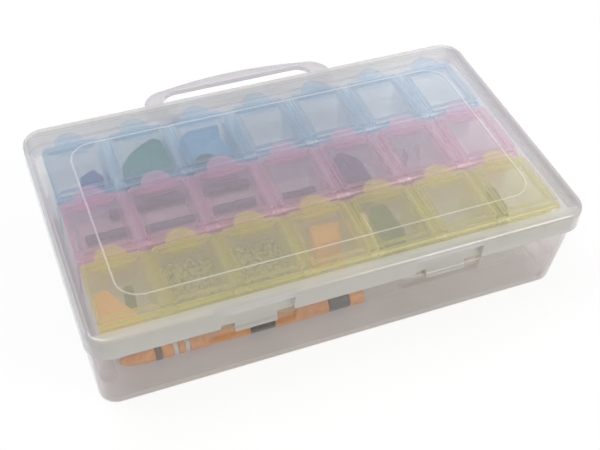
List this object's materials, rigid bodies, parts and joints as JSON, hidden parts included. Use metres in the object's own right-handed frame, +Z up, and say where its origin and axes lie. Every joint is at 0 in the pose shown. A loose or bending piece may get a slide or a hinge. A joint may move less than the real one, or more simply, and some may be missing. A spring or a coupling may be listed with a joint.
{
  "type": "sewing box with trays",
  "caption": "Translucent hinged case with a carrying handle, holding lift-out trays of small compartments, each under its own hinged flap with a finger tab.",
  "frame": {"origin": "middle of the case's underside, on the surface it stands on", "axes": "+X along the case's length, +Y towards the side with the handle, +Z up through the lid"},
  "size_m": [0.221, 0.158, 0.0505],
  "materials": {
    "case_plastic": "moulded translucent polypropylene",
    "lid_plastic": "moulded clear polypropylene",
    "handle_plastic": "moulded translucent polypropylene",
    "yellow_plastic": "moulded tinted translucent polypropylene",
    "pink_plastic": "moulded tinted translucent polypropylene",
    "blue_plastic": "moulded tinted translucent polypropylene"
  },
  "bodies": {
    "base": {"base_box": "case_plastic", "tray_yellow": "yellow_plastic", "tray_pink": "pink_plastic", "tray_blue": "blue_plastic"},
    "lid": {"lid": "lid_plastic"},
    "handle": {"handle": "handle_plastic"},
    "flap_yellow_1": {"flap_yellow_1": "yellow_plastic"},
    "flap_yellow_2": {"flap_yellow_2": "yellow_plastic"},
    "flap_yellow_3": {"flap_yellow_3": "yellow_plastic"},
    "flap_yellow_4": {"flap_yellow_4": "yellow_plastic"},
    "flap_yellow_5": {"flap_yellow_5": "yellow_plastic"},
    "flap_yellow_6": {"flap_yellow_6": "yellow_plastic"},
    "flap_yellow_7": {"flap_yellow_7": "yellow_plastic"},
    "flap_pink_1": {"flap_pink_1": "pink_plastic"},
    "flap_pink_2": {"flap_pink_2": "pink_plastic"},
    "flap_pink_3": {"flap_pink_3": "pink_plastic"},
    "flap_pink_4": {"flap_pink_4": "pink_plastic"},
    "flap_pink_5": {"flap_pink_5": "pink_plastic"},
    "flap_pink_6": {"flap_pink_6": "pink_plastic"},
    "flap_pink_7": {"flap_pink_7": "pink_plastic"},
    "flap_blue_1": {"flap_blue_1": "blue_plastic"},
    "flap_blue_2": {"flap_blue_2": "blue_plastic"},
    "flap_blue_3": {"flap_blue_3": "blue_plastic"},
    "flap_blue_4": {"flap_blue_4": "blue_plastic"},
    "flap_blue_5": {"flap_blue_5": "blue_plastic"},
    "flap_blue_6": {"flap_blue_6": "blue_plastic"},
    "flap_blue_7": {"flap_blue_7": "blue_plastic"}
  },
  "joints": [
    {"name": "lid_hinge", "type": "hinge", "parent": "base", "child": "lid", "pos_m": [0, -0.06158, 0.034], "axis": [1, 0, 0], "range_deg": [0, 120]},
    {"name": "handle_swing", "type": "hinge", "parent": "base", "child": "handle", "pos_m": [0, 0.0673, 0.0355], "axis": [1, 0, 0], "range_deg": [-90, 90]},
    {"name": "flap_yellow_1_hinge", "type": "hinge", "parent": "base", "child": "flap_yellow_1", "pos_m": [-0.09, -0.0522, 0.0433], "axis": [1, 0, 0], "range_deg": [0, 100]},
    {"name": "flap_yellow_2_hinge", "type": "hinge", "parent": "base", "child": "flap_yellow_2", "pos_m": [-0.06, -0.0522, 0.0433], "axis": [1, 0, 0], "range_deg": [0, 100]},
    {"name": "flap_yellow_3_hinge", "type": "hinge", "parent": "base", "child": "flap_yellow_3", "pos_m": [-0.03, -0.0522, 0.0433], "axis": [1, 0, 0], "range_deg": [0, 100]},
    {"name": "flap_yellow_4_hinge", "type": "hinge", "parent": "base", "child": "flap_yellow_4", "pos_m": [0, -0.0522, 0.0433], "axis": [1, 0, 0], "range_deg": [0, 100]},
    {"name": "flap_yellow_5_hinge", "type": "hinge", "parent": "base", "child": "flap_yellow_5", "pos_m": [0.03, -0.0522, 0.0433], "axis": [1, 0, 0], "range_deg": [0, 100]},
    {"name": "flap_yellow_6_hinge", "type": "hinge", "parent": "base", "child": "flap_yellow_6", "pos_m": [0.06, -0.0522, 0.0433], "axis": [1, 0, 0], "range_deg": [0, 100]},
    {"name": "flap_yellow_7_hinge", "type": "hinge", "parent": "base", "child": "flap_yellow_7", "pos_m": [0.09, -0.0522, 0.0433], "axis": [1, 0, 0], "range_deg": [0, 100]},
    {"name": "flap_pink_1_hinge", "type": "hinge", "parent": "base", "child": "flap_pink_1", "pos_m": [-0.09, -0.015, 0.0433], "axis": [1, 0, 0], "range_deg": [0, 100]},
    {"name": "flap_pink_2_hinge", "type": "hinge", "parent": "base", "child": "flap_pink_2", "pos_m": [-0.06, -0.015, 0.0433], "axis": [1, 0, 0], "range_deg": [0, 100]},
    {"name": "flap_pink_3_hinge", "type": "hinge", "parent": "base", "child": "flap_pink_3", "pos_m": [-0.03, -0.015, 0.0433], "axis": [1, 0, 0], "range_deg": [0, 100]},
    {"name": "flap_pink_4_hinge", "type": "hinge", "parent": "base", "child": "flap_pink_4", "pos_m": [0, -0.015, 0.0433], "axis": [1, 0, 0], "range_deg": [0, 100]},
    {"name": "flap_pink_5_hinge", "type": "hinge", "parent": "base", "child": "flap_pink_5", "pos_m": [0.03, -0.015, 0.0433], "axis": [1, 0, 0], "range_deg": [0, 100]},
    {"name": "flap_pink_6_hinge", "type": "hinge", "parent": "base", "child": "flap_pink_6", "pos_m": [0.06, -0.015, 0.0433], "axis": [1, 0, 0], "range_deg": [0, 100]},
    {"name": "flap_pink_7_hinge", "type": "hinge", "parent": "base", "child": "flap_pink_7", "pos_m": [0.09, -0.015, 0.0433], "axis": [1, 0, 0], "range_deg": [0, 100]},
    {"name": "flap_blue_1_hinge", "type": "hinge", "parent": "base", "child": "flap_blue_1", "pos_m": [-0.09, 0.0222, 0.0433], "axis": [1, 0, 0], "range_deg": [0, 100]},
    {"name": "flap_blue_2_hinge", "type": "hinge", "parent": "base", "child": "flap_blue_2", "pos_m": [-0.06, 0.0222, 0.0433], "axis": [1, 0, 0], "range_deg": [0, 100]},
    {"name": "flap_blue_3_hinge", "type": "hinge", "parent": "base", "child": "flap_blue_3", "pos_m": [-0.03, 0.0222, 0.0433], "axis": [1, 0, 0], "range_deg": [0, 100]},
    {"name": "flap_blue_4_hinge", "type": "hinge", "parent": "base", "child": "flap_blue_4", "pos_m": [0, 0.0222, 0.0433], "axis": [1, 0, 0], "range_deg": [0, 100]},
    {"name": "flap_blue_5_hinge", "type": "hinge", "parent": "base", "child": "flap_blue_5", "pos_m": [0.03, 0.0222, 0.0433], "axis": [1, 0, 0], "range_deg": [0, 100]},
    {"name": "flap_blue_6_hinge", "type": "hinge", "parent": "base", "child": "flap_blue_6", "pos_m": [0.06, 0.0222, 0.0433], "axis": [1, 0, 0], "range_deg": [0, 100]},
    {"name": "flap_blue_7_hinge", "type": "hinge", "parent": "base", "child": "flap_blue_7", "pos_m": [0.09, 0.0222, 0.0433], "axis": [1, 0, 0], "range_deg": [0, 100]}
  ],
  "couplings": [
    {"joint": "flap_yellow_1_hinge", "follows": "lid_hinge", "ratio": 0.8},
    {"joint": "flap_yellow_2_hinge", "follows": "lid_hinge", "ratio": 0.8},
    {"joint": "flap_yellow_3_hinge", "follows": "lid_hinge", "ratio": 0.8},
    {"joint": "flap_yellow_4_hinge", "follows": "lid_hinge", "ratio": 0.8},
    {"joint": "flap_yellow_5_hinge", "follows": "lid_hinge", "ratio": 0.8},
    {"joint": "flap_yellow_6_hinge", "follows": "lid_hinge", "ratio": 0.8},
    {"joint": "flap_yellow_7_hinge", "follows": "lid_hinge", "ratio": 0.8},
    {"joint": "flap_pink_1_hinge", "follows": "lid_hinge", "ratio": 0.8},
    {"joint": "flap_pink_2_hinge", "follows": "lid_hinge", "ratio": 0.8},
    {"joint": "flap_pink_3_hinge", "follows": "lid_hinge", "ratio": 0.8},
    {"joint": "flap_pink_4_hinge", "follows": "lid_hinge", "ratio": 0.8},
    {"joint": "flap_pink_5_hinge", "follows": "lid_hinge", "ratio": 0.8},
    {"joint": "flap_pink_6_hinge", "follows": "lid_hinge", "ratio": 0.8},
    {"joint": "flap_pink_7_hinge", "follows": "lid_hinge", "ratio": 0.8},
    {"joint": "flap_blue_1_hinge", "follows": "lid_hinge", "ratio": 0.8},
    {"joint": "flap_blue_2_hinge", "follows": "lid_hinge", "ratio": 0.8},
    {"joint": "flap_blue_3_hinge", "follows": "lid_hinge", "ratio": 0.8},
    {"joint": "flap_blue_4_hinge", "follows": "lid_hinge", "ratio": 0.8},
    {"joint": "flap_blue_5_hinge", "follows": "lid_hinge", "ratio": 0.8},
    {"joint": "flap_blue_6_hinge", "follows": "lid_hinge", "ratio": 0.8},
    {"joint": "flap_blue_7_hinge", "follows": "lid_hinge", "ratio": 0.8}
  ]
}
